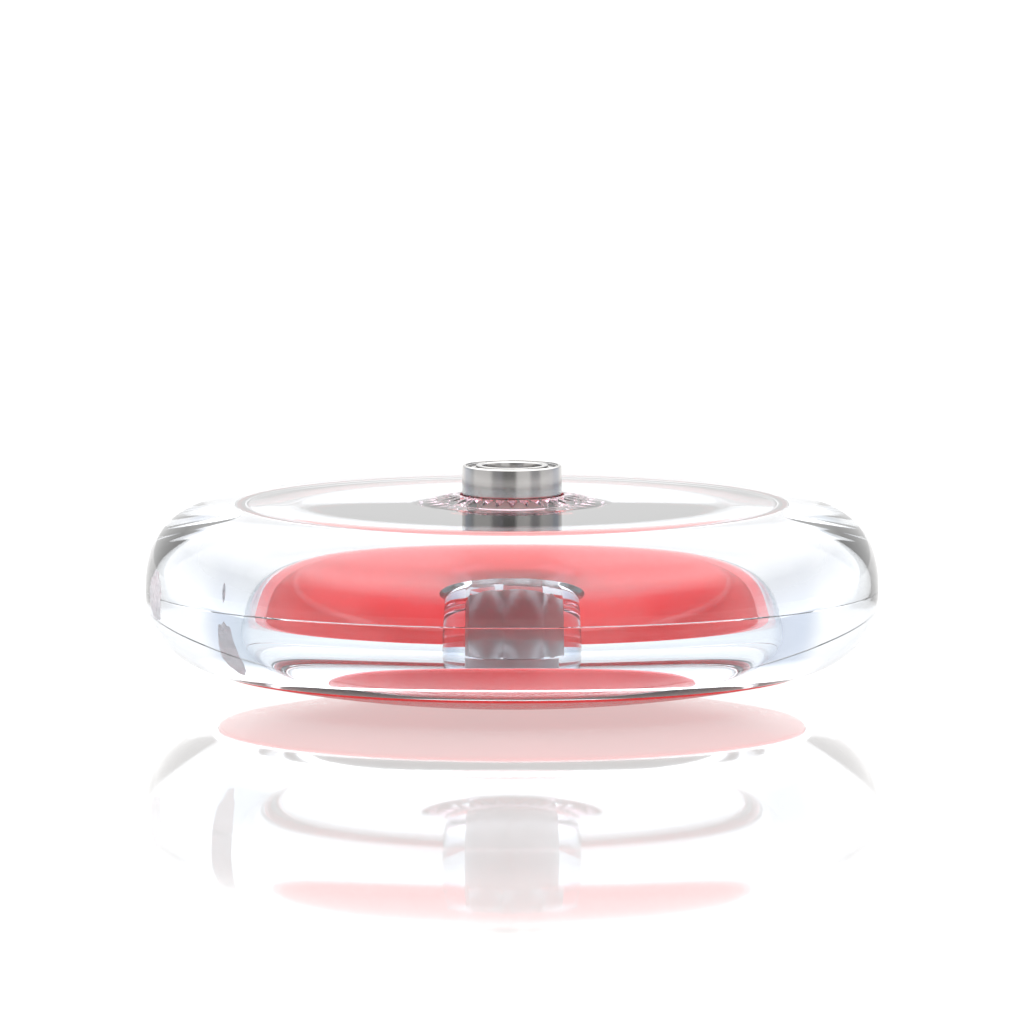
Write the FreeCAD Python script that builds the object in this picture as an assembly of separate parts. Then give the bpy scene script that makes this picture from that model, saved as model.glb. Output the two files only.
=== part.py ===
import FreeCAD, Part
import math
import os

# One half of a take-apart ball-bearing yo-yo, lying on its side cap. Millimetres.
# +Z runs up the axle. The origin is the middle of the flat spot that the cap rests on.

# ---- driving dimensions ----------------------------------------------------------------
# Clear body: a thick ring round an air pocket, with a hub post on the axle line.
BODY_R = 29.15            # largest radius
PARTING_Z = 8.72          # widest height, where the mould halves met
FACE_Z = 15.6             # flat inner face, the side that faces the string
FACE_R = 22.0             # where that flat starts to round over
LIP_R = 23.93             # bottom edge of the ring, round the cap
LIP_Z = 2.39
POCKET_TOP_Z = 14.8       # ceiling of the air pocket
POCKET_TOP_R = 22.25      # the pocket narrows a little towards its mouth
POCKET_MOUTH_R = 21.08
POCKET_FILLET = 1.5
HUB_R = 5.5
HUB_FILLET = 0.4
HUB_FOOT_R = 6.1
HUB_FOOT_H = 0.5
HUB_END_Z = 3.2

# Side cap: a shallow dish that snaps into the mouth of the pocket.
CAP_R = 23.3
CAP_GAP = 0.05            # radial gap all round the cap
CAP_DOME_R = 112.0        # outside of the dome
CAP_FLAT_R = 8.0          # flat spot in its middle
CAP_FLOOR = 1.38
CAP_TOP_Z = 4.75          # flange, under the ledge at the pocket's mouth
CAP_SKIRT_R = 20.95       # skirt, standing inside the pocket
CAP_SKIRT_T = 1.2
CAP_SKIRT_TOP_Z = 6.6

# Bearing, inch series: 3/16 bore, 5/16 outside, 1/8 wide.
BEARING_BORE_R = 4.762 / 2
BEARING_R = 7.938 / 2
BEARING_W = 3.175
BEARING_TOP_Z = 18.58
INNER_LAND_R = 2.86       # outside of the inner race
OUTER_LAND_R = 3.49       # inside of the outer race
PITCH_R = 6.35 / 2        # circle of ball centres
BALL_R = 0.5
BALL_COUNT = 10
GROOVE_R = 0.53           # radius of the ball tracks
CAGE_T = 0.35
CAGE_H = 1.5
CAGE_HOLE_R = 0.55
SHIELD_T = 0.15
SHIELD_OUT = 1.17         # from the bearing's middle to a shield's inner side
SHIELD_STEP_R = 3.66
SHIELD_BORE_R = 2.95
CLIP_T = 0.14             # wire clip that holds a shield
CLIP_W = 0.15
CLIP_GAP_DEG = 36.0
EDGE = 0.12               # chamfer on the races' corners

# Seat, starburst and axle fittings.
SEAT_R = 4.15
SEAT_Z = 15.1
COLLAR_R = 4.5
COLLAR_Z = 16.24
BURST_R = 7.7             # outer edge of the starburst
BURST_TEETH = 32
BURST_VALLEY_Z = 15.85    # bottom line of the grooves between its teeth
GROOVE_HALF_W = 0.45
GROOVE_DEPTH = 0.4
POST_R = 2.35
POST_TOP_Z = 17.9
POST_FLANGE_R = 2.8
POST_BORE_R = 1.6         # clears an M3 axle
NUT_ACROSS_FLATS = 4.5
NUT_LOW_Z = 3.6
NUT_TOP_Z = 8.7
NUT_THREAD_R = 1.25       # M3 thread, at its minor diameter
NUT_TURN_DEG = 18.0
FIT_GAP = 0.02            # between pieces pressed together
REST_GAP = 0.01           # under the bearing, on its shoulder

# ---- worked out from the driving dimensions --------------------------------------------
BEARING_LOW_Z = BEARING_TOP_Z - BEARING_W
BEARING_MID_Z = BEARING_TOP_Z - BEARING_W / 2
CAP_CENTRE_Z = math.sqrt(CAP_DOME_R ** 2 - CAP_FLAT_R ** 2)
CAP_EDGE_Z = CAP_CENTRE_Z - math.sqrt(CAP_DOME_R ** 2 - CAP_R ** 2)
LEDGE_Z = CAP_TOP_Z + CAP_GAP
AXIS = FreeCAD.Vector(0, 0, 1)
ORIGIN = FreeCAD.Vector(0, 0, 0)


def at(radius, height):
    """A point of a turned outline."""
    return FreeCAD.Vector(radius, 0, height)


def straight(*corners):
    """Straight edges through the corners, in order."""
    return [Part.LineSegment(a, b).toShape() for a, b in zip(corners, corners[1:])]


def curve(*poles):
    """One Bezier edge."""
    bezier = Part.BezierCurve()
    bezier.setPoles(list(poles))
    return [bezier.toShape()]


def fillet(centre, radius, start_deg, end_deg):
    """A round edge about a centre; the angles are in degrees from the outward direction."""
    points = []
    for angle in (start_deg, (start_deg + end_deg) / 2, end_deg):
        turn = math.radians(angle)
        points.append(centre + FreeCAD.Vector(radius * math.cos(turn), 0, radius * math.sin(turn)))
    return [Part.Arc(*points).toShape()]


def turned(edges):
    """The solid swept by a closed outline round the axle line."""
    face = Part.Face(Part.Wire(Part.__sortEdges__(edges)))
    return face.revolve(ORIGIN, AXIS, 360)


def outline(*corners):
    """The solid turned from a closed outline of straight edges."""
    return turned(straight(*corners, corners[0]))


def tube(inner, outer, low, high):
    """A plain round tube on the axle line."""
    return outline(at(inner, low), at(outer, low), at(outer, high), at(inner, high))


def disc(radius, low, high):
    """A plain round bar on the axle line."""
    return Part.makeCylinder(radius, high - low, at(0, low))


def hexagon(across_flats, low, high):
    """A six-sided bar on the axle line, turned to where the nut sits."""
    corner_r = across_flats / math.sqrt(3)
    corners = []
    for side in range(7):
        turn = math.radians(60 * side + NUT_TURN_DEG)
        corners.append(FreeCAD.Vector(corner_r * math.cos(turn), corner_r * math.sin(turn), low))
    return Part.Face(Part.makePolygon(corners)).extrude(AXIS * (high - low))


def body_outline():
    """Half section of the clear body, from the axle line out and back again."""
    fillet_z = POCKET_TOP_Z - POCKET_FILLET
    edges = straight(at(0, SEAT_Z), at(SEAT_R, SEAT_Z), at(SEAT_R, COLLAR_Z), at(COLLAR_R, COLLAR_Z),
                     at(BURST_R, FACE_Z), at(FACE_R, FACE_Z))
    edges += curve(at(FACE_R, FACE_Z), at(FACE_R + 3.95, FACE_Z), at(BODY_R, FACE_Z - 1.49), at(BODY_R, PARTING_Z))
    edges += curve(at(BODY_R, PARTING_Z), at(BODY_R, PARTING_Z - 3.64), at(LIP_R + 2.63, LIP_Z + 0.63), at(LIP_R, LIP_Z))
    edges += straight(at(LIP_R, LIP_Z), at(CAP_R + CAP_GAP, LIP_Z), at(CAP_R + CAP_GAP, LEDGE_Z),
                      at(POCKET_MOUTH_R, LEDGE_Z), at(POCKET_TOP_R, fillet_z))
    edges += fillet(at(POCKET_TOP_R - POCKET_FILLET, fillet_z), POCKET_FILLET, 0, 90)
    edges += straight(at(POCKET_TOP_R - POCKET_FILLET, POCKET_TOP_Z), at(HUB_R + HUB_FILLET, POCKET_TOP_Z))
    edges += fillet(at(HUB_R + HUB_FILLET, POCKET_TOP_Z - HUB_FILLET), HUB_FILLET, 90, 180)
    edges += straight(at(HUB_R, POCKET_TOP_Z - HUB_FILLET), at(HUB_R, HUB_END_Z + HUB_FOOT_H),
                      at(HUB_FOOT_R, HUB_END_Z), at(0, HUB_END_Z), at(0, SEAT_Z))
    return edges


def burst_grooves():
    """The V grooves between the teeth of the starburst."""
    start = COLLAR_R + 0.3
    tip = FreeCAD.Vector(start, 0, BURST_VALLEY_Z)
    left = FreeCAD.Vector(start, -GROOVE_HALF_W, BURST_VALLEY_Z + GROOVE_DEPTH)
    right = FreeCAD.Vector(start, GROOVE_HALF_W, BURST_VALLEY_Z + GROOVE_DEPTH)
    length = BURST_R + 0.2 - start
    grooves = []
    for tooth in range(BURST_TEETH):
        groove = Part.Face(Part.makePolygon([tip, right, left, tip])).extrude(FreeCAD.Vector(length, 0, 0))
        groove.rotate(ORIGIN, AXIS, 360.0 * tooth / BURST_TEETH)
        grooves.append(groove)
    return Part.makeCompound(grooves)


def clear_body():
    """The thick clear half shell, with its bearing seat, starburst, hub post and cap recess."""
    body = turned(body_outline())
    body = body.cut(disc(POST_R + FIT_GAP, NUT_TOP_Z, SEAT_Z + 1))
    body = body.cut(hexagon(NUT_ACROSS_FLATS + 2 * FIT_GAP, HUB_END_Z - 1, NUT_TOP_Z + FIT_GAP))
    return body.cut(burst_grooves())


def side_cap():
    """The red dish that closes the pocket: a shallow dome with a snap-in skirt."""
    inner_r = CAP_SKIRT_R - CAP_SKIRT_T
    inner_dome_r = CAP_DOME_R - CAP_FLOOR
    inner_edge_z = CAP_CENTRE_Z - math.sqrt(inner_dome_r ** 2 - inner_r ** 2)
    middle_z = CAP_CENTRE_Z - math.sqrt(CAP_DOME_R ** 2 - (CAP_R * 0.7) ** 2)
    inner_middle_z = CAP_CENTRE_Z - math.sqrt(inner_dome_r ** 2 - (inner_r * 0.6) ** 2)
    dome = Part.Arc(at(CAP_FLAT_R, 0), at(CAP_R * 0.7, middle_z), at(CAP_R, CAP_EDGE_Z)).toShape()
    inner_dome = Part.Arc(at(inner_r, inner_edge_z), at(inner_r * 0.6, inner_middle_z),
                          at(0, CAP_CENTRE_Z - inner_dome_r)).toShape()
    edges = straight(at(0, 0), at(CAP_FLAT_R, 0)) + [dome]
    edges += straight(at(CAP_R, CAP_EDGE_Z), at(CAP_R, CAP_TOP_Z), at(CAP_SKIRT_R, CAP_TOP_Z),
                      at(CAP_SKIRT_R, CAP_SKIRT_TOP_Z), at(inner_r, CAP_SKIRT_TOP_Z), at(inner_r, inner_edge_z))
    edges += [inner_dome]
    edges += straight(at(0, CAP_CENTRE_Z - inner_dome_r), at(0, 0))
    return turned(edges)


def axle_nut():
    """The long hexagonal nut pressed into the hub, which the axle screws into."""
    return hexagon(NUT_ACROSS_FLATS, NUT_LOW_Z, NUT_TOP_Z - FIT_GAP).cut(disc(NUT_THREAD_R, 0, FACE_Z))


def bearing_post():
    """The steel sleeve that the bearing sits on; its flange carries the inner race."""
    shoulder_z = BEARING_LOW_Z - REST_GAP
    chamfer = 0.25
    return outline(at(POST_BORE_R, NUT_TOP_Z + FIT_GAP), at(POST_R, NUT_TOP_Z + FIT_GAP),
                   at(POST_R, SEAT_Z + FIT_GAP), at(POST_FLANGE_R, SEAT_Z + FIT_GAP),
                   at(POST_FLANGE_R, shoulder_z), at(POST_R, shoulder_z), at(POST_R, POST_TOP_Z - chamfer),
                   at(POST_R - chamfer, POST_TOP_Z), at(POST_BORE_R, POST_TOP_Z))


def ball_track():
    """The ring-shaped groove that the balls run in, to be cut from both races."""
    return Part.makeTorus(PITCH_R, GROOVE_R, at(0, BEARING_MID_Z))


def inner_race():
    """The bearing's inner ring."""
    ring = outline(at(BEARING_BORE_R, BEARING_LOW_Z + EDGE), at(BEARING_BORE_R + EDGE, BEARING_LOW_Z),
                   at(INNER_LAND_R, BEARING_LOW_Z), at(INNER_LAND_R, BEARING_TOP_Z),
                   at(BEARING_BORE_R + EDGE, BEARING_TOP_Z), at(BEARING_BORE_R, BEARING_TOP_Z - EDGE))
    return ring.cut(ball_track())


def outer_race():
    """The bearing's outer ring, stepped at each end for a shield and its clip."""
    low_step = BEARING_MID_Z - SHIELD_OUT
    high_step = BEARING_MID_Z + SHIELD_OUT
    ring = outline(at(OUTER_LAND_R, low_step), at(SHIELD_STEP_R, low_step), at(SHIELD_STEP_R, BEARING_LOW_Z),
                   at(BEARING_R - EDGE, BEARING_LOW_Z), at(BEARING_R, BEARING_LOW_Z + EDGE),
                   at(BEARING_R, BEARING_TOP_Z - EDGE), at(BEARING_R - EDGE, BEARING_TOP_Z),
                   at(SHIELD_STEP_R, BEARING_TOP_Z), at(SHIELD_STEP_R, high_step), at(OUTER_LAND_R, high_step))
    return ring.cut(ball_track())


def shield(side):
    """A thin washer that covers the balls; side is +1 on top and -1 underneath."""
    inner_z = BEARING_MID_Z + side * (SHIELD_OUT + FIT_GAP)
    outer_z = inner_z + side * SHIELD_T
    return tube(SHIELD_BORE_R, SHIELD_STEP_R - FIT_GAP, min(inner_z, outer_z), max(inner_z, outer_z))


def shield_clip(side):
    """The split wire ring that holds a shield in its step."""
    inner_z = BEARING_MID_Z + side * (SHIELD_OUT + SHIELD_T + 2 * FIT_GAP)
    outer_z = inner_z + side * CLIP_T
    outer_r = SHIELD_STEP_R - FIT_GAP
    low = min(inner_z, outer_z)
    section = straight(at(outer_r - CLIP_W, low), at(outer_r, low), at(outer_r, low + CLIP_T),
                       at(outer_r - CLIP_W, low + CLIP_T), at(outer_r - CLIP_W, low))
    return Part.Face(Part.Wire(section)).revolve(ORIGIN, AXIS, 360 - CLIP_GAP_DEG)


def ball_angle(index):
    """Where a ball sits round the bearing, in degrees."""
    return 360.0 * index / BALL_COUNT


def ball_cage():
    """The ring that keeps the balls apart, with a round window for each."""
    cage = tube(PITCH_R - CAGE_T / 2, PITCH_R + CAGE_T / 2, BEARING_MID_Z - CAGE_H / 2, BEARING_MID_Z + CAGE_H / 2)
    windows = []
    for index in range(BALL_COUNT):
        window = Part.makeCylinder(CAGE_HOLE_R, 1.0, at(PITCH_R - 0.5, BEARING_MID_Z), FreeCAD.Vector(1, 0, 0))
        window.rotate(ORIGIN, AXIS, ball_angle(index))
        windows.append(window)
    return cage.cut(Part.makeCompound(windows))


def ball(index):
    """One bearing ball."""
    turn = math.radians(ball_angle(index))
    centre = FreeCAD.Vector(PITCH_R * math.cos(turn), PITCH_R * math.sin(turn), BEARING_MID_Z)
    return Part.makeSphere(BALL_R, centre)


def all_parts():
    """Every piece by its node's name."""
    parts = {
        "clear_body": clear_body(),
        "side_cap": side_cap(),
        "axle_nut": axle_nut(),
        "bearing_post": bearing_post(),
        "inner_race": inner_race(),
        "outer_race": outer_race(),
        "ball_cage": ball_cage(),
        "top_shield": shield(1),
        "bottom_shield": shield(-1),
        "top_shield_clip": shield_clip(1),
        "bottom_shield_clip": shield_clip(-1),
    }
    for index in range(BALL_COUNT):
        parts[f"ball_{index + 1:02d}"] = ball(index)
    return parts


os.makedirs("parts", exist_ok=True)
for name, shape in all_parts().items():
    solid = shape.Solids[0]
    solid.exportStep(f"parts/{name}.step")
    print(name, "solids", len(shape.Solids), "valid", solid.isValid(), "volume", round(solid.Volume, 2))
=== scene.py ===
import math

import bmesh
import bpy
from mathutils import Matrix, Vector, geometry


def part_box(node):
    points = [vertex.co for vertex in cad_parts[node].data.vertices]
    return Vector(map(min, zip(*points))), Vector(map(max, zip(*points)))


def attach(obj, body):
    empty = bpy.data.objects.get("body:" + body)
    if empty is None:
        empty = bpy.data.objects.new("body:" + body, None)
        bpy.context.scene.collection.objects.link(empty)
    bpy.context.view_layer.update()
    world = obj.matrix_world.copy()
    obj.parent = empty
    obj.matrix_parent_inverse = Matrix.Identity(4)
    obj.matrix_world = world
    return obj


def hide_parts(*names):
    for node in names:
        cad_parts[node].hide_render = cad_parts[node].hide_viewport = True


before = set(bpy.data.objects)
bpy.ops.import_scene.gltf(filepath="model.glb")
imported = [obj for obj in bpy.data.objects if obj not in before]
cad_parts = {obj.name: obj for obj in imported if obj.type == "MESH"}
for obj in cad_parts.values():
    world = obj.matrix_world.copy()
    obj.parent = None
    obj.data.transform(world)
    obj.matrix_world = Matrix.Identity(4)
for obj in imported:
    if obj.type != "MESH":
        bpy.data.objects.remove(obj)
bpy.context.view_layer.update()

bl_info = {
    "name": "Clear Yo-Yo Half",
    "version": (1, 0, 0),
    "blender": (4, 5, 0),
    "location": "View3D > Sidebar > Yo-Yo",
    "description": "Models one half of a take-apart ball-bearing yo-yo: clear shell, red cap and steel fittings",
    "category": "Add Mesh",
}

MM = 0.001
BODY = "half"
TABLE_GAP = 0.02 * MM    # keeps the cap's flat spot clear of the table top
FIT_GAP = 0.02 * MM      # between the shell and the steel that stands on it
CLOSE_FIT = 0.01 * MM    # the clear plastic overlaps the steel by this, so no air shows between them

# Boxes of the packed parts, which the sizes below start from.
SHELL_LOW, SHELL_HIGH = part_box("clear_body")
CAP_LOW, CAP_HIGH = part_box("side_cap")
RACE_LOW, RACE_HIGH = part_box("outer_race")
SHIELD_LOW, SHIELD_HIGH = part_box("top_shield")
CLIP_LOW, CLIP_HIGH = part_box("top_shield_clip")
POST_LOW, POST_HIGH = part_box("bearing_post")
NUT_LOW, NUT_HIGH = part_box("axle_nut")


def length(name, description, default):
    """A length property; the default is in metres."""
    return bpy.props.FloatProperty(
        name=name, description=description, default=default, min=0.0, precision=6, subtype="DISTANCE", unit="LENGTH"
    )


def colour(name, description, default):
    """A colour property."""
    return bpy.props.FloatVectorProperty(
        name=name, description=description, default=default, min=0.0, max=1.0, size=3, subtype="COLOR"
    )


def factor(name, description, default, high=1.0):
    """A plain number between zero and a limit."""
    return bpy.props.FloatProperty(name=name, description=description, default=default, min=0.0, max=high)


# ---- settings -----------------------------------------------------------------------------


class ShellSettings(bpy.types.PropertyGroup):
    """Sizes and look of the clear shell."""

    radius: length("Radius", "Largest radius of the shell", SHELL_HIGH.x)
    parting_height: length("Parting height", "Height of the widest line, where the mould halves met", 8.72 * MM)
    face_height: length("Face height", "Height of the flat face that the string runs against", 15.6 * MM)
    face_radius: length("Face radius", "Where the flat face starts to round over", 22.0 * MM)
    lip_radius: length("Lip radius", "Bottom edge of the ring, round the cap", 23.93 * MM)
    recess_radius: length("Recess radius", "Inside of the lip, which the cap snaps into", 23.35 * MM)
    recess_height: length("Recess height", "Height of the ledge that the cap's skirt stops at", 4.8 * MM)
    pocket_radius: length("Pocket radius", "Radius of the air pocket under its ceiling", 22.25 * MM)
    pocket_mouth: length("Pocket mouth", "Radius of the air pocket at its mouth", 21.08 * MM)
    pocket_height: length("Pocket height", "Height of the air pocket's ceiling", 14.8 * MM)
    pocket_fillet: length("Pocket fillet", "Round between the pocket's wall and its ceiling", 1.5 * MM)
    hub_radius: length("Hub radius", "Radius of the hub in the middle of the pocket", 5.5 * MM)
    hub_fillet: length("Hub fillet", "Round between the hub and the pocket's ceiling", 0.4 * MM)
    hub_end: length("Hub end", "Height of the hub's lower end", 3.2 * MM)
    seat_radius: length("Seat radius", "Radius of the recess that the bearing stands in", 4.15 * MM)
    seat_height: length("Seat height", "Floor of the bearing's recess", 15.1 * MM)
    collar_radius: length("Collar radius", "Outside of the thin rim round the bearing", 4.5 * MM)
    burst_radius: length("Starburst radius", "Outer edge of the starburst", 7.7 * MM)
    groove_depth: length("Groove depth", "Depth of the grooves between the teeth", 0.4 * MM)
    groove_half_width: length("Groove half width", "Half the width of the grooves at their top", 0.45 * MM)
    burst_valley: length("Starburst valley", "Height of the bottom of the grooves", 15.85 * MM)
    burst_teeth: bpy.props.IntProperty(name="Starburst teeth", description="Teeth round the bearing", default=32, min=3)
    seam_depth: length("Seam depth", "Depth of the fine line round the parting", 0.04 * MM)
    tint: colour("Tint", "Colour of the clear plastic", (0.87, 0.905, 0.94))
    # Painted reflection: the red cap's pink, painted into the clear plastic's colour round the starburst.
    burst_painted_reflection: colour("Starburst painted reflection", "Blush that the cap's red gives the starburst", (0.86, 0.50, 0.66))
    gate_radius: length("Gate mark radius", "Size of the frosted spot where the plastic went in", 1.9 * MM)
    gate_bearing: bpy.props.FloatProperty(
        name="Gate mark angle", description="Where the spot is round the rim", default=math.radians(194.0),
        subtype="ANGLE"
    )


class CapSettings(bpy.types.PropertyGroup):
    """Sizes and look of the red side cap."""

    radius: length("Radius", "Outside of the cap", CAP_HIGH.x)
    dome_radius: length("Dome radius", "Radius of the sphere that the outside follows", 112.0 * MM)
    flat_radius: length("Flat radius", "Flat spot in the middle of the dome", 8.0 * MM)
    floor: length("Floor", "Thickness of the dome", 1.38 * MM)
    flange: length("Flange", "Height of the flange under the ledge", 4.75 * MM)
    skirt_radius: length("Skirt radius", "Outside of the skirt, inside the pocket", 20.95 * MM)
    skirt: length("Skirt", "Thickness of the upright skirt", 1.2 * MM)
    colour: colour("Colour", "Colour of the cap", (0.95, 0.03, 0.035))


class SteelSettings(bpy.types.PropertyGroup):
    """Sizes and look of the bearing, its post and the axle nut."""

    bore: length("Bearing bore", "Radius of the bearing's bore", 2.381 * MM)
    outer_land: length("Outer land", "Inside of the outer race", 3.49 * MM)
    inner_land: length("Inner land", "Outside of the inner race", 2.86 * MM)
    step_radius: length("Shield step", "Radius of the step that holds a shield", 3.66 * MM)
    corner: length("Corner", "Round on the corners of the races", 0.16 * MM)
    track_depth: length("Track depth", "Depth of the ball tracks", 0.21 * MM)
    track_half: length("Track half width", "Half the width of the ball tracks", 0.43 * MM)
    shield_bore: length("Shield bore", "Radius of the hole in a shield", 2.95 * MM)
    shield_bead: length("Shield bead", "Height of the pressed bead of a shield", 0.05 * MM)
    bead_outside: length("Bead outside", "Where the bead starts to rise", 3.42 * MM)
    bead_top: length("Bead top", "Where the bead is at full height", 3.36 * MM)
    clip_wire: length("Clip wire", "Thickness of the clip's wire", 0.15 * MM)
    clip_turn: bpy.props.FloatProperty(
        name="Clip turn", description="How far round the split clip goes", default=math.radians(324.0), subtype="ANGLE"
    )
    post_radius: length("Post radius", "Radius of the post, which fills the bearing's bore", 2.35 * MM)
    post_seat: length("Post seat", "Height of the underside of the post's flange", 15.12 * MM)
    post_flange: length("Post flange", "Radius of the post's flange", 2.8 * MM)
    post_bore: length("Post bore", "Radius of the hole down the post", 1.6 * MM)
    nut_flats: length("Nut across flats", "Width of the axle nut", 4.5 * MM)
    nut_thread: length("Nut thread", "Radius of the thread's crests in the nut", 1.25 * MM)
    nut_turn: bpy.props.FloatProperty(
        name="Nut turn", description="Angle of the nut's first corner", default=math.radians(18.0), subtype="ANGLE"
    )
    ground: colour("Ground steel", "Colour of the ground races", (0.44, 0.43, 0.42))
    # Grey of the turned steel, with a pink cast that is a painted reflection of the red cap: partly the steel's own
    # colour, partly painted reflection.
    turned: colour("Turned steel with painted red reflection", "Colour of the post and nut", (0.47, 0.42, 0.42))
    pressed: colour("Pressed steel", "Colour of the shields and the cage", (0.56, 0.55, 0.54))


class StageSettings(bpy.types.PropertyGroup):
    """The floor, the light and the camera."""

    floor: colour("Floor", "Colour of the glossy floor", (0.15, 0.148, 0.147))
    light: factor("Light", "Strength of the studio light", 1.18, 10.0)
    elevation: bpy.props.FloatProperty(
        name="Elevation", description="Angle of the camera over the table", default=math.radians(6.0), subtype="ANGLE"
    )
    distance: length("Distance", "From the camera to the object", 1.8)
    aim: length("Aim", "Height that the camera looks at", 14.8 * MM)
    view_width: length("View width", "Width of the view at the object", 81.334 * MM)


# ---- shapes -------------------------------------------------------------------------------


def drawn_outline(bm, corners, closed=True):
    """Draws a half section in the XZ plane; each corner is radius, height and its rounding."""
    verts = [bm.verts.new((radius, 0.0, height)) for radius, height, rounding in corners]
    for start, end in zip(verts, verts[1:]):
        bm.edges.new((start, end))
    if closed:
        bm.edges.new((verts[-1], verts[0]))
    for vert, (radius, height, rounding) in zip(verts, corners):
        if rounding > 0.0:
            segments = max(4, min(24, round(rounding / (0.08 * MM))))
            bmesh.ops.bevel(
                bm, geom=[vert], offset=rounding, segments=segments, profile=0.5, affect="VERTICES", material=-1
            )


def spun(bm, steps, angle=math.tau):
    """Turns everything drawn so far round the axle line."""
    bmesh.ops.spin(
        bm, geom=bm.verts[:] + bm.edges[:], cent=(0, 0, 0), axis=(0, 0, 1), dvec=(0, 0, 0), angle=angle, steps=steps,
        use_merge=angle >= math.tau, use_duplicate=False,
    )
    bmesh.ops.remove_doubles(bm, verts=bm.verts[:], dist=1e-7)
    if angle < math.tau:
        bmesh.ops.holes_fill(bm, edges=bm.edges[:], sides=0)
    bmesh.ops.recalc_face_normals(bm, faces=bm.faces[:])


def finished(bm, name, material, body, nodes=(), sharp_deg=30.0):
    """Makes the piece's object from its bmesh, with smooth faces and crisp corners."""
    for face in bm.faces:
        face.smooth = True
    for edge in bm.edges:
        edge.smooth = len(edge.link_faces) < 2 or edge.calc_face_angle(0.0) < math.radians(sharp_deg)
    mesh = bpy.data.meshes.new(name)
    bm.to_mesh(mesh)
    bm.free()
    mesh.materials.append(material)
    piece = bpy.data.objects.new(name, mesh)
    bpy.context.scene.collection.objects.link(piece)
    if nodes:
        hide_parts(*nodes)
    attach(piece, body)
    return piece


def bezier(start, start_handle, end_handle, end, count):
    """Points along one curve of a half section, without its first point, as corners with no rounding."""
    ends = [Vector((radius, height)) for radius, height in (start, start_handle, end_handle, end)]
    points = geometry.interpolate_bezier(ends[0], ends[1], ends[2], ends[3], count)
    return [(point.x, point.y, 0.0) for point in points[1:]]


def rim_upper(shell):
    """The rim from the flat face out to the parting line."""
    face = (shell.face_radius, shell.face_height)
    widest = (shell.radius, shell.parting_height)
    return bezier(face, (face[0] + 3.95 * MM, face[1]), (widest[0], face[1] - 1.49 * MM), widest, 40)


def rim_lower(shell):
    """The rim from the parting line in to the lip."""
    widest = (shell.radius, shell.parting_height)
    lip = (shell.lip_radius, SHELL_LOW.z)
    return bezier(widest, (widest[0], widest[1] - 3.64 * MM), (lip[0] + 2.63 * MM, lip[1] + 0.63 * MM), lip, 40)


def to_hexagon(verts, across_flats, turn):
    """Moves a ring's vertices out or in to a hexagon with a corner at the angle turn."""
    for vert in verts:
        angle = math.atan2(vert.co.y, vert.co.x) - turn
        from_flat = angle % math.radians(60.0) - math.radians(30.0)
        radius = across_flats / 2 / math.cos(from_flat)
        vert.co.xy = vert.co.xy.normalized() * radius


# ---- finishes -----------------------------------------------------------------------------


class Finish:
    """A node material with its shader and an object-coordinate input ready to use."""

    def __init__(self, name):
        self.material = bpy.data.materials.new(name)
        self.material.use_nodes = True
        self.tree = self.material.node_tree
        self.shader = self.tree.nodes["Principled BSDF"]
        self.output = self.tree.nodes["Material Output"]
        self.place = self.tree.nodes.new("ShaderNodeTexCoord").outputs["Object"]

    def set(self, **values):
        """Sets plain values on the shader's own sockets."""
        for name, value in values.items():
            self.shader.inputs[name.replace("_", " ")].default_value = value

    def node(self, kind, **values):
        """Adds a node and sets its attributes."""
        made = self.tree.nodes.new(kind)
        for name, value in values.items():
            setattr(made, name, value)
        return made

    def link(self, start, end):
        """Joins two sockets."""
        self.tree.links.new(start, end)

    def scaled(self, scale):
        """Object coordinates stretched by a scale."""
        mapping = self.node("ShaderNodeMapping")
        mapping.inputs["Scale"].default_value = scale
        self.link(self.place, mapping.inputs["Vector"])
        return mapping.outputs["Vector"]

    def noise(self, scale, detail=4.0, roughness=0.55):
        """A noise pattern; the scale is per metre along each axis."""
        made = self.node("ShaderNodeTexNoise")
        made.inputs["Scale"].default_value = 1.0
        made.inputs["Detail"].default_value = detail
        made.inputs["Roughness"].default_value = roughness
        self.link(self.scaled(scale), made.inputs["Vector"])
        return made.outputs["Fac"]

    def ball(self, centre, radii):
        """A pattern that is 1 at a point and fades to 0 at an ellipsoid round it."""
        mapping = self.node("ShaderNodeMapping")
        mapping.inputs["Scale"].default_value = [1.0 / radius for radius in radii]
        mapping.inputs["Location"].default_value = [-at / radius for at, radius in zip(centre, radii)]
        self.link(self.place, mapping.inputs["Vector"])
        made = self.node("ShaderNodeTexGradient", gradient_type="SPHERICAL")
        self.link(mapping.outputs["Vector"], made.inputs["Vector"])
        return made.outputs["Fac"]

    def spread(self, value, low, high, low_in=0.3, high_in=0.7):
        """Maps a pattern onto a range."""
        made = self.node("ShaderNodeMapRange")
        made.inputs["From Min"].default_value = low_in
        made.inputs["From Max"].default_value = high_in
        made.inputs["To Min"].default_value = low
        made.inputs["To Max"].default_value = high
        self.link(value, made.inputs["Value"])
        return made.outputs["Result"]

    def blend(self, value, first, second):
        """A colour between two, chosen by a pattern."""
        made = self.node("ShaderNodeMix", data_type="RGBA")
        self.link(value, made.inputs["Factor"])
        made.inputs["A"].default_value = (*first, 1.0)
        made.inputs["B"].default_value = (*second, 1.0)
        return made.outputs["Result"]

    def bump(self, pattern, distance, strength=1.0, under=None):
        """Raises the surface by a pattern; the distance is in metres."""
        made = self.node("ShaderNodeBump")
        made.inputs["Distance"].default_value = distance
        made.inputs["Strength"].default_value = strength
        self.link(pattern, made.inputs["Height"])
        if under is not None:
            self.link(under, made.inputs["Normal"])
        return made.outputs["Normal"]


def lighter(colour_value, amount):
    """The colour scaled up or down, kept in range."""
    return tuple(min(1.0, channel * amount) for channel in colour_value)


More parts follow.
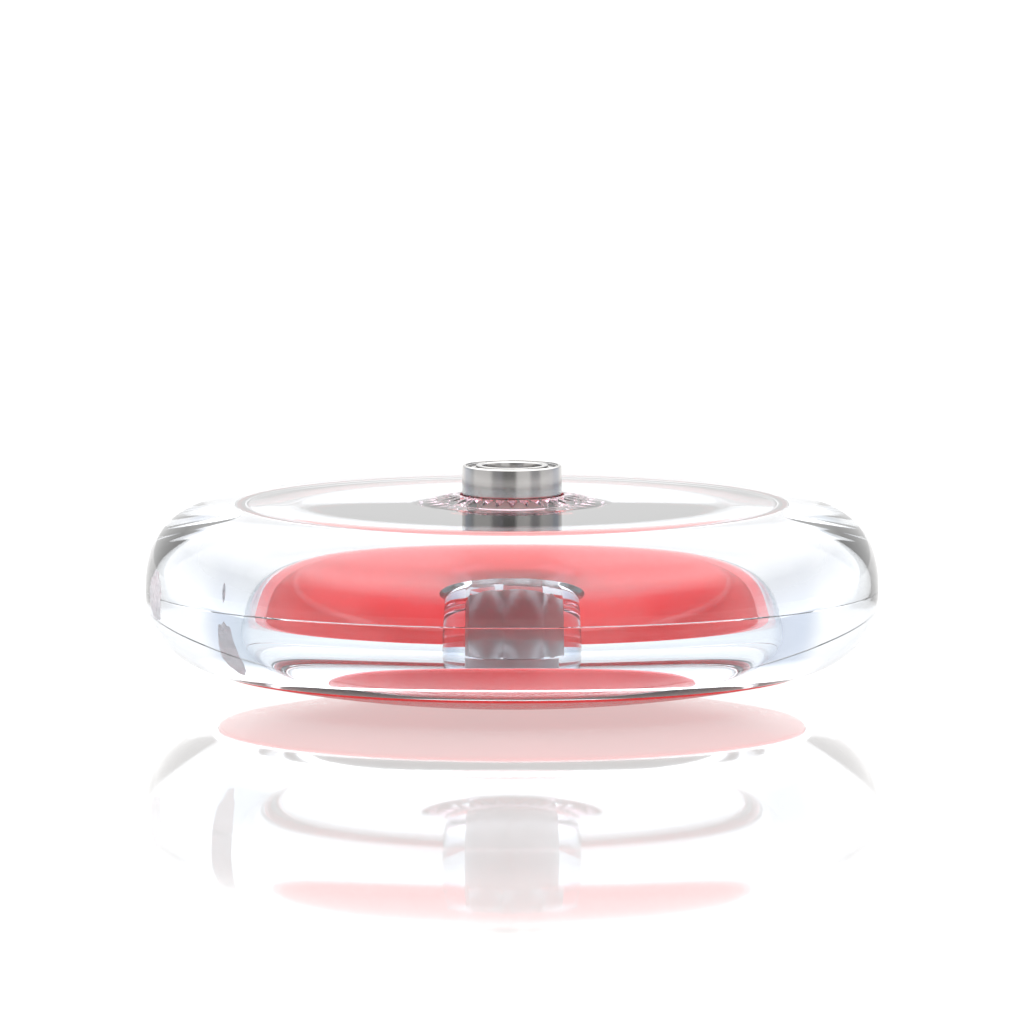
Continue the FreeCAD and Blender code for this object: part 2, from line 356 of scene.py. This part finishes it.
def clear_polycarbonate(tint, burst_painted_reflection):
    """Water-clear moulded plastic with a very faint flow in its surface; round the starburst a pink blush is painted
    into its colour as a painted reflection of the red cap.
    """
    finish = Finish("Clear polycarbonate")
    finish.set(Roughness=0.0, IOR=1.585, Transmission_Weight=1.0)
    # Painted reflection of the red cap: the colour turns pink in a flat ball round the starburst.
    painted_reflection_mask = finish.ball((0.0, 0.0, 16.1 * MM), (8.6 * MM, 8.6 * MM, 0.9 * MM))
    finish.link(finish.blend(finish.spread(painted_reflection_mask, 0.0, 1.0, 0.02, 0.3), tint, burst_painted_reflection),
                finish.shader.inputs["Base Color"])
    flow = finish.noise((60.0, 60.0, 140.0), detail=2.0)
    finish.link(finish.bump(flow, 0.01 * MM, 0.6), finish.shader.inputs["Normal"])
    return finish.material


def frosted_spot():
    """The matt, slightly torn skin of a gate mark."""
    finish = Finish("Frosted gate mark")
    finish.set(IOR=1.585, Transmission_Weight=0.55)
    speckle = finish.noise((2600.0, 2600.0, 2600.0), detail=6.0, roughness=0.7)
    finish.link(finish.blend(finish.spread(speckle, 0.0, 1.0), (0.36, 0.35, 0.38), (0.93, 0.92, 0.95)),
                finish.shader.inputs["Base Color"])
    finish.link(finish.spread(speckle, 0.35, 0.7), finish.shader.inputs["Roughness"])
    finish.link(finish.bump(speckle, 0.12 * MM), finish.shader.inputs["Normal"])
    return finish.material


def red_plastic(colour_value):
    """Glossy red plastic, a touch uneven in depth as thin mouldings are."""
    finish = Finish("Red cap plastic")
    finish.set(IOR=1.49)
    cloud = finish.noise((90.0, 90.0, 60.0), detail=3.0)
    finish.link(finish.blend(finish.spread(cloud, 0.0, 1.0), lighter(colour_value, 0.92), lighter(colour_value, 1.05)),
                finish.shader.inputs["Base Color"])
    fine = finish.noise((1500.0, 1500.0, 1500.0), detail=2.0)
    finish.link(finish.spread(fine, 0.16, 0.26), finish.shader.inputs["Roughness"])
    finish.link(finish.bump(cloud, 0.02 * MM, 0.6), finish.shader.inputs["Normal"])
    return finish.material


def turned_steel(name, colour_value, smooth, rough, groove=0.0002 * MM):
    """Steel with fine marks that run round the axle line, as turning and grinding leave them."""
    finish = Finish(name)
    finish.set(Metallic=1.0)
    marks = finish.noise((90.0, 90.0, 30000.0), detail=3.0, roughness=0.5)
    stain = finish.noise((300.0, 300.0, 200.0), detail=2.0)
    finish.link(finish.blend(finish.spread(stain, 0.0, 1.0), lighter(colour_value, 0.96), lighter(colour_value, 1.04)),
                finish.shader.inputs["Base Color"])
    finish.link(finish.spread(marks, smooth, rough), finish.shader.inputs["Roughness"])
    finish.link(finish.bump(marks, groove, 0.7), finish.shader.inputs["Normal"])
    return finish.material


def pressed_steel(name, colour_value, smooth, rough):
    """Sheet steel with an even satin skin."""
    finish = Finish(name)
    finish.set(Metallic=1.0)
    grain = finish.noise((3200.0, 3200.0, 3200.0), detail=5.0, roughness=0.6)
    finish.link(finish.blend(finish.spread(grain, 0.0, 1.0), lighter(colour_value, 0.88), lighter(colour_value, 1.1)),
                finish.shader.inputs["Base Color"])
    finish.link(finish.spread(grain, smooth, rough), finish.shader.inputs["Roughness"])
    finish.link(finish.bump(grain, 0.004 * MM, 0.6), finish.shader.inputs["Normal"])
    return finish.material


def glossy_floor(colour_value):
    """A white glossy table top with a barely uneven polish."""
    finish = Finish("Glossy table")
    finish.set(IOR=1.5, Emission_Color=(1.0, 0.985, 0.98, 1.0), Emission_Strength=0.43)
    cloud = finish.noise((5.0, 5.0, 5.0), detail=3.0)
    finish.link(finish.blend(finish.spread(cloud, 0.0, 1.0), lighter(colour_value, 0.99), colour_value),
                finish.shader.inputs["Base Color"])
    finish.link(finish.spread(cloud, 0.03, 0.04), finish.shader.inputs["Roughness"])
    return finish.material


# ---- operators ----------------------------------------------------------------------------


class YOYO_OT_clear_shell(bpy.types.Operator):
    """Model the clear half shell with its pocket, hub, bearing seat and starburst"""

    bl_idname = "yoyo.clear_shell"
    bl_label = "Clear Shell"

    STEPS = 480

    def outline(self, shell, steel):
        """Half section of the shell, from the seat out over the face, round the rim and back up the hub."""
        post = POST_LOW.z - FIT_GAP
        post_hole = steel.post_radius - CLOSE_FIT
        burst_start = shell.collar_radius + 0.3 * MM
        slope = (shell.face_height - SHELL_HIGH.z) / (shell.burst_radius - shell.collar_radius)

        def at_slope(radius):
            return SHELL_HIGH.z + slope * (radius - shell.collar_radius)

        corners = [
            (post_hole, post, 0.0),
            (post_hole, shell.seat_height, 0.0),
            (shell.seat_radius, shell.seat_height, 0.1 * MM),
            (shell.seat_radius, SHELL_HIGH.z, 0.04 * MM),
            (shell.collar_radius, SHELL_HIGH.z, 0.04 * MM),
            (burst_start, at_slope(burst_start), 0.0),
        ]
        rings = 12
        for ring in range(rings + 1):
            radius = burst_start + 0.02 * MM + (shell.burst_radius - burst_start - 0.02 * MM) * ring / rings
            corners.append((radius, at_slope(radius), 0.0))
        corners += [
            (shell.burst_radius + 0.3 * MM, shell.face_height, 0.0),
            (shell.face_radius, shell.face_height, 0.0),
        ]
        seam = 0.06 * MM
        corners += rim_upper(shell)[:-1]
        corners += [
            (shell.radius - 0.002 * MM, shell.parting_height + seam, 0.0),
            (shell.radius - shell.seam_depth, shell.parting_height, 0.0),
            (shell.radius - 0.002 * MM, shell.parting_height - seam, 0.0),
        ]
        corners += rim_lower(shell)[:-1]
        wall = shell.pocket_height - shell.pocket_fillet
        taper = 0.3 * (shell.pocket_radius - shell.pocket_mouth) / wall
        corners += [
            (shell.lip_radius, SHELL_LOW.z, 0.0),
            (shell.recess_radius, SHELL_LOW.z, 0.06 * MM),
            (shell.recess_radius, shell.recess_height, 0.1 * MM),
            (shell.pocket_mouth, shell.recess_height, 0.1 * MM),
            (shell.pocket_radius + taper * shell.pocket_fillet, shell.pocket_height, shell.pocket_fillet),
            (shell.hub_radius, shell.pocket_height, shell.hub_fillet),
            (shell.hub_radius, shell.hub_end + 0.5 * MM, 0.3 * MM),
            (shell.hub_radius + 0.6 * MM, shell.hub_end, 0.12 * MM),
            (steel.nut_flats / 2, shell.hub_end, 0.0),
            (steel.nut_flats / 2, post, 0.0),
        ]
        return corners

    def cut_starburst(self, bm, shell):
        """Presses the V grooves between the starburst's teeth."""
        pitch = math.tau / shell.burst_teeth
        start = shell.collar_radius + 0.31 * MM
        side_slope = shell.groove_depth / shell.groove_half_width
        for vert in bm.verts:
            radius = vert.co.xy.length
            if vert.co.z < shell.face_height - 0.01 * MM or not start < radius < shell.burst_radius + 0.1 * MM:
                continue
            angle = math.atan2(vert.co.y, vert.co.x)
            aside = radius * abs(math.sin((angle + pitch / 2) % pitch - pitch / 2))
            vert.co.z = min(vert.co.z, shell.burst_valley + side_slope * aside)

    def execute(self, context):
        shell = context.scene.yoyo_shell
        steel = context.scene.yoyo_steel
        bm = bmesh.new()
        drawn_outline(bm, self.outline(shell, steel))
        spun(bm, self.STEPS)
        self.cut_starburst(bm, shell)
        pocket = [v for v in bm.verts if abs(v.co.xy.length - steel.nut_flats / 2) < 0.01 * MM]
        to_hexagon(pocket, steel.nut_flats - 2 * CLOSE_FIT, steel.nut_turn)
        material = clear_polycarbonate(shell.tint, shell.burst_painted_reflection)
        finished(bm, "clear_shell", material, BODY, ["clear_body"], 20.0)
        return {"FINISHED"}


class YOYO_OT_gate_mark(bpy.types.Operator):
    """Model the frosted spot on the rim where the plastic went in"""

    bl_idname = "yoyo.gate_mark"
    bl_label = "Gate Mark"

    def rim_radius(self, shell, height):
        """Radius of the rim at a height near the parting line."""
        outline = [(r, z) for r, z, rounding in rim_upper(shell) + rim_lower(shell)]
        for (r0, z0), (r1, z1) in zip(outline, outline[1:]):
            if z1 <= height <= z0:
                return r0 + (r1 - r0) * (z0 - height) / max(z0 - z1, 1e-9)
        return shell.radius

    def execute(self, context):
        shell = context.scene.yoyo_shell
        bm = bmesh.new()
        rings = 12
        drawn_outline(bm, [(shell.gate_radius * ring / rings, 0.0, 0.0) for ring in range(rings + 1)], closed=False)
        spun(bm, 64)
        for vert in bm.verts:
            across, up = vert.co.x, vert.co.y * 1.05
            way = math.atan2(up, across)
            ragged = 1.0 + 0.05 * math.sin(5.0 * way) + 0.03 * math.sin(11.0 * way)
            across, up = across * ragged, up * ragged
            height = shell.parting_height + 0.15 * MM + up
            edge = (across ** 2 + up ** 2) / shell.gate_radius ** 2
            radius = self.rim_radius(shell, height) + 0.03 * MM * max(0.0, 1.0 - edge) + 0.01 * MM
            angle = shell.gate_bearing + across / shell.radius
            vert.co = (radius * math.cos(angle), radius * math.sin(angle), height)
        bmesh.ops.recalc_face_normals(bm, faces=bm.faces[:])
        finished(bm, "gate_mark", frosted_spot(), BODY)
        return {"FINISHED"}


class YOYO_OT_side_cap(bpy.types.Operator):
    """Model the domed red cap with its snap-in skirt"""

    bl_idname = "yoyo.side_cap"
    bl_label = "Side Cap"

    def dome(self, radius, centre, low, high, count):
        """Corners along a shallow dome between two radii."""
        made = []
        for step in range(count + 1):
            at = low + (high - low) * step / count
            made.append((at, centre - math.sqrt(radius ** 2 - at ** 2), 0.0))
        return made

    def execute(self, context):
        cap = context.scene.yoyo_cap
        centre = math.sqrt(cap.dome_radius ** 2 - cap.flat_radius ** 2)
        inner = cap.skirt_radius - cap.skirt
        edge = centre - math.sqrt(cap.dome_radius ** 2 - cap.radius ** 2)
        corners = [(0.0, CAP_LOW.z, 0.0)]
        corners += self.dome(cap.dome_radius, centre, cap.flat_radius, cap.radius, 24)[:-1]
        corners += [
            (cap.radius, edge, 0.12 * MM),
            (cap.radius, cap.flange, 0.15 * MM),
            (cap.skirt_radius, cap.flange, 0.05 * MM),
            (cap.skirt_radius, CAP_HIGH.z, 0.2 * MM),
            (inner, CAP_HIGH.z, 0.2 * MM),
            (inner, centre - math.sqrt((cap.dome_radius - cap.floor) ** 2 - inner ** 2), 0.6 * MM),
        ]
        corners += self.dome(cap.dome_radius - cap.floor, centre, inner - 1.0 * MM, 0.0, 24)
        bm = bmesh.new()
        drawn_outline(bm, corners, closed=False)
        spun(bm, 288)
        finished(bm, "red_side_cap", red_plastic(cap.colour), BODY, ["side_cap"])
        return {"FINISHED"}


class YOYO_OT_hub_fittings(bpy.types.Operator):
    """Model the steel post under the bearing and the hexagonal axle nut"""

    bl_idname = "yoyo.hub_fittings"
    bl_label = "Hub Fittings"

    def post(self, steel, material):
        """The turned sleeve with its flange."""
        radius = steel.post_radius
        seat = steel.post_seat
        corners = [
            (steel.post_bore, POST_LOW.z, 0.12 * MM),
            (radius, POST_LOW.z, 0.15 * MM),
            (radius, seat, 0.0),
            (steel.post_flange, seat, 0.05 * MM),
            (steel.post_flange, RACE_LOW.z - 0.01 * MM, 0.05 * MM),
            (radius, RACE_LOW.z - 0.01 * MM, 0.0),
            (radius, POST_HIGH.z, 0.25 * MM),
            (steel.post_bore, POST_HIGH.z, 0.15 * MM),
        ]
        bm = bmesh.new()
        drawn_outline(bm, corners)
        spun(bm, 128)
        finished(bm, "steel_post", material, BODY, ["bearing_post"])

    def nut(self, steel, material):
        """The long nut, with chamfered ends and a threaded hole."""
        flat = steel.nut_flats / 2
        chamfer = 0.22 * MM
        crest = steel.nut_thread
        turns = 10
        corners = [(crest + 0.25 * MM, NUT_LOW.z, 0.0)]
        corners += [(flat, NUT_LOW.z, 0.0), (flat + 0.01 * MM, NUT_LOW.z + chamfer, 0.0)]
        corners += [(flat + 0.01 * MM, NUT_HIGH.z - chamfer, 0.0), (flat, NUT_HIGH.z, 0.0)]
        corners.append((crest + 0.25 * MM, NUT_HIGH.z, 0.0))
        pitch = (NUT_HIGH.z - NUT_LOW.z - 0.6 * MM) / turns
        for turn in range(turns):
            top = NUT_HIGH.z - 0.3 * MM - turn * pitch
            corners += [(crest, top, 0.03 * MM), (crest + 0.2 * MM, top - pitch / 2, 0.03 * MM)]
        corners.append((crest, NUT_LOW.z + 0.3 * MM, 0.03 * MM))
        bm = bmesh.new()
        drawn_outline(bm, corners)
        spun(bm, 120)
        sides = [v for v in bm.verts if v.co.xy.length > flat + 0.005 * MM]
        to_hexagon(sides, steel.nut_flats, steel.nut_turn)
        finished(bm, "axle_hex_nut", material, BODY, ["axle_nut"])

    def execute(self, context):
        steel = context.scene.yoyo_steel
        # The post's and nut's colour carries a pink cast, a painted reflection of the red cap round them.
        self.post(steel, turned_steel("Turned post steel with painted red reflection", steel.turned, 0.38, 0.46))
        self.nut(steel, turned_steel("Nut steel with painted red reflection", lighter(steel.turned, 0.97), 0.42, 0.5))
        return {"FINISHED"}


class YOYO_OT_bearing_races(bpy.types.Operator):
    """Model the bearing's two races with their ball tracks and rounded corners"""

    bl_idname = "yoyo.bearing_races"
    bl_label = "Bearing Races"

    def execute(self, context):
        steel = context.scene.yoyo_steel
        middle = (RACE_LOW.z + RACE_HIGH.z) / 2
        step = SHIELD_LOW.z - 0.02 * MM - middle
        round_off = steel.corner
        track = steel.track_half
        depth = steel.track_depth
        outer = [
            (steel.outer_land, middle - step, 0.03 * MM),
            (steel.step_radius, middle - step, 0.03 * MM),
            (steel.step_radius, RACE_LOW.z, 0.04 * MM),
            (RACE_HIGH.x, RACE_LOW.z, round_off),
            (RACE_HIGH.x, RACE_HIGH.z, round_off),
            (steel.step_radius, RACE_HIGH.z, 0.04 * MM),
            (steel.step_radius, middle + step, 0.03 * MM),
            (steel.outer_land, middle + step, 0.03 * MM),
            (steel.outer_land, middle + track, 0.0),
            (steel.outer_land + depth, middle + track / 2, 0.15 * MM),
            (steel.outer_land + depth, middle - track / 2, 0.15 * MM),
            (steel.outer_land, middle - track, 0.0),
        ]
        inner = [
            (steel.inner_land, RACE_LOW.z, 0.04 * MM),
            (steel.inner_land, middle - track, 0.0),
            (steel.inner_land - depth, middle - track / 2, 0.15 * MM),
            (steel.inner_land - depth, middle + track / 2, 0.15 * MM),
            (steel.inner_land, middle + track, 0.0),
            (steel.inner_land, RACE_HIGH.z, 0.04 * MM),
            (steel.bore, RACE_HIGH.z, 0.12 * MM),
            (steel.bore, RACE_LOW.z, 0.12 * MM),
        ]
        material = turned_steel("Ground race steel", steel.ground, 0.13, 0.17)
        for name, corners, body in (("race_outer", outer, "outer_race"), ("race_inner", inner, "inner_race")):
            bm = bmesh.new()
            drawn_outline(bm, corners)
            spun(bm, 192)
            finished(bm, name, material, body, [body])
        return {"FINISHED"}


class YOYO_OT_shields(bpy.types.Operator):
    """Model the two pressed shields and the split wire clips that hold them"""

    bl_idname = "yoyo.shields"
    bl_label = "Shields and Clips"

    def execute(self, context):
        steel = context.scene.yoyo_steel
        middle = (RACE_LOW.z + RACE_HIGH.z) / 2
        shield_finish = pressed_steel("Pressed shield steel", steel.pressed, 0.22, 0.36)
        # The clips' steel is darkened to 0.55 of the shields' colour: partly the wire's own steel, partly painted shade
        # of the recess that they sit in.
        clip_painted_shade_finish = pressed_steel("Clip wire", lighter(steel.pressed, 0.55), 0.2, 0.35)
        thick = SHIELD_HIGH.z - SHIELD_LOW.z
        for side, where in ((1, "top"), (-1, "bottom")):
            low = SHIELD_LOW.z - middle
            bead = steel.shield_bead
            washer = [
                (steel.shield_bore, low, 0.03 * MM),
                (SHIELD_HIGH.x, low, 0.03 * MM),
                (SHIELD_HIGH.x, low + thick - bead, 0.03 * MM),
                (steel.bead_outside, low + thick - bead, 0.03 * MM),
                (steel.bead_top, low + thick, 0.03 * MM),
                (steel.shield_bore, low + thick, 0.04 * MM),
            ]
            ring_low = CLIP_LOW.z - middle
            ring_high = CLIP_HIGH.z - middle
            ring_in = CLIP_HIGH.x - steel.clip_wire
            wire = [
                (ring_in, ring_low, 0.04 * MM),
                (CLIP_HIGH.x, ring_low, 0.04 * MM),
                (CLIP_HIGH.x, ring_high, 0.05 * MM),
                (ring_in, ring_high, 0.05 * MM),
            ]
            pieces = (
                ("shield_" + where, washer, 160, math.tau, shield_finish, "shield_steel", where + "_shield"),
                ("clip_" + where, wire, 144, steel.clip_turn, clip_painted_shade_finish, "clip_steel", where + "_shield_clip"),
            )
            for name, corners, steps, angle, material, slot, node in pieces:
                bm = bmesh.new()
                drawn_outline(bm, [(radius, middle + side * height, rounding) for radius, height, rounding in corners])
                spun(bm, steps, angle)
                finished(bm, name, material, "outer_race", [node])
        return {"FINISHED"}


class YOYO_OT_balls_and_cage(bpy.types.Operator):
    """Finish the bearing's balls and their cage in steel"""

    bl_idname = "yoyo.balls_and_cage"
    bl_label = "Balls and Cage"

    def execute(self, context):
        steel = context.scene.yoyo_steel
        polished = pressed_steel("Polished ball steel", (0.8, 0.8, 0.8), 0.05, 0.09)
        cage = pressed_steel("Cage steel", steel.pressed, 0.25, 0.4)
        for name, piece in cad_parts.items():
            if name.startswith("ball_"):
                finish = cage if name == "ball_cage" else polished
                piece.data.materials.clear()
                piece.data.materials.append(finish)
        return {"FINISHED"}


class YOYO_OT_studio(bpy.types.Operator):
    """Set up the glossy table, the soft studio light and the camera"""

    bl_idname = "yoyo.studio"
    bl_label = "Studio"

    def table(self, stage):
        """A wide white table top under the cap."""
        bm = bmesh.new()
        bmesh.ops.create_grid(bm, x_segments=4, y_segments=4, size=4.0)
        for vert in bm.verts:
            vert.co.z = -TABLE_GAP
        mesh = bpy.data.meshes.new("table_top")
        bm.to_mesh(mesh)
        bm.free()
        mesh.materials.append(glossy_floor(stage.floor))
        table = bpy.data.objects.new("table_top", mesh)
        bpy.context.scene.collection.objects.link(table)

    def light(self, stage):
        """A bright tent round the table, darker on the side that the camera stands on."""
        world = bpy.data.worlds.new("Studio tent")
        bpy.context.scene.world = world
        world.use_nodes = True
        tree = world.node_tree
        background = tree.nodes["Background"]
        background.inputs["Strength"].default_value = stage.light
        direction = tree.nodes.new("ShaderNodeTexCoord").outputs["Generated"]
        turn = tree.nodes.new("ShaderNodeTexGradient")
        turn.gradient_type = "RADIAL"
        tree.links.new(direction, turn.inputs["Vector"])
        around = tree.nodes.new("ShaderNodeValToRGB")
        around.color_ramp.interpolation = "EASE"
        tree.links.new(turn.outputs["Fac"], around.inputs["Fac"])
        # Places round the tent: 0 is the left, 0.25 the camera's side, 0.5 the right, 0.75 behind the table.
        tones = (
            (0.000, (0.90, 0.90, 0.90)),
            (0.100, (0.90, 0.90, 0.90)),
            (0.135, (0.40, 0.40, 0.41)),
            (0.180, (0.37, 0.37, 0.40)),
            (0.200, (0.24, 0.24, 0.24)),
            (0.265, (0.24, 0.24, 0.24)),
            (0.290, (0.90, 0.90, 0.90)),
            (0.355, (0.94, 0.94, 0.94)),
            (0.385, (0.47, 0.47, 0.49)),
            (0.425, (0.47, 0.47, 0.49)),
            (0.455, (0.90, 0.90, 0.90)),
            (0.540, (0.84, 0.84, 0.87)),
            (0.570, (0.63, 0.67, 0.76)),
            (0.610, (0.64, 0.69, 0.79)),
            (0.660, (1.00, 1.00, 1.00)),
            (0.840, (1.00, 1.00, 1.00)),
            (0.890, (0.64, 0.69, 0.79)),
            (0.925, (0.60, 0.66, 0.73)),
            (0.960, (0.54, 0.57, 0.60)),
            (0.990, (0.90, 0.90, 0.90)),
        )
        ramp = around.color_ramp
        while len(ramp.elements) < len(tones):
            ramp.elements.new(0.5)
        for element, (position, tone) in zip(ramp.elements, tones):
            element.position = position
            element.color = (*tone, 1.0)
        height = tree.nodes.new("ShaderNodeSeparateXYZ")
        tree.links.new(direction, height.inputs["Vector"])
        overhead = tree.nodes.new("ShaderNodeMapRange")
        overhead.inputs["From Min"].default_value = 0.3
        overhead.inputs["From Max"].default_value = 0.6
        tree.links.new(height.outputs["Z"], overhead.inputs["Value"])
        tent = tree.nodes.new("ShaderNodeMix")
        tent.data_type = "RGBA"
        tent.inputs["B"].default_value = (2.7, 2.7, 2.7, 1.0)
        tree.links.new(overhead.outputs["Result"], tent.inputs["Factor"])
        tree.links.new(around.outputs["Color"], tent.inputs["A"])
        tree.links.new(tent.outputs["Result"], background.inputs["Color"])

    def camera(self, stage):
        """A long lens, low over the table."""
        target = Vector((0.0, 0.0, stage.aim))
        back = Vector((0.0, -math.cos(stage.elevation), math.sin(stage.elevation)))
        data = bpy.data.cameras.new("Camera")
        camera = bpy.data.objects.new("Camera", data)
        bpy.context.scene.collection.objects.link(camera)
        camera.location = target + back * stage.distance
        camera.rotation_euler = (-back).to_track_quat("-Z", "Y").to_euler()
        data.sensor_width = 36.0
        data.lens = data.sensor_width / stage.view_width * stage.distance
        data.clip_end = 20.0
        bpy.context.scene.camera = camera
        bpy.context.scene.view_settings.view_transform = "Standard"

    def execute(self, context):
        stage = context.scene.yoyo_stage
        self.table(stage)
        self.light(stage)
        self.camera(stage)
        return {"FINISHED"}


# ---- panel and registration ---------------------------------------------------------------


class YOYO_PT_panel(bpy.types.Panel):
    """Buttons for each group of pieces, with their sizes and colours"""

    bl_label = "Clear Yo-Yo Half"
    bl_idname = "YOYO_PT_panel"
    bl_space_type = "VIEW_3D"
    bl_region_type = "UI"
    bl_category = "Yo-Yo"

    def draw(self, context):
        for operator in OPERATORS:
            self.layout.operator(operator.bl_idname)
        for name, settings in SETTINGS.items():
            box = self.layout.box()
            box.label(text=settings.__doc__)
            for key in settings.__annotations__:
                box.prop(getattr(context.scene, name), key)


SETTINGS = {
    "yoyo_shell": ShellSettings,
    "yoyo_cap": CapSettings,
    "yoyo_steel": SteelSettings,
    "yoyo_stage": StageSettings,
}

OPERATORS = (
    YOYO_OT_studio,
    YOYO_OT_clear_shell,
    YOYO_OT_gate_mark,
    YOYO_OT_side_cap,
    YOYO_OT_hub_fittings,
    YOYO_OT_bearing_races,
    YOYO_OT_shields,
    YOYO_OT_balls_and_cage,
)


def register():
    for settings in SETTINGS.values():
        bpy.utils.register_class(settings)
    for name, settings in SETTINGS.items():
        setattr(bpy.types.Scene, name, bpy.props.PointerProperty(type=settings))
    for operator in OPERATORS:
        bpy.utils.register_class(operator)
    bpy.utils.register_class(YOYO_PT_panel)


def unregister():
    bpy.utils.unregister_class(YOYO_PT_panel)
    for operator in reversed(OPERATORS):
        bpy.utils.unregister_class(operator)
    for name in SETTINGS:
        delattr(bpy.types.Scene, name)
    for settings in SETTINGS.values():
        bpy.utils.unregister_class(settings)


def main():
    """Build everything in order."""
    register()
    for operator in OPERATORS:
        group, name = operator.bl_idname.split(".")
        getattr(getattr(bpy.ops, group), name)()


if __name__ == "__main__":
    main()
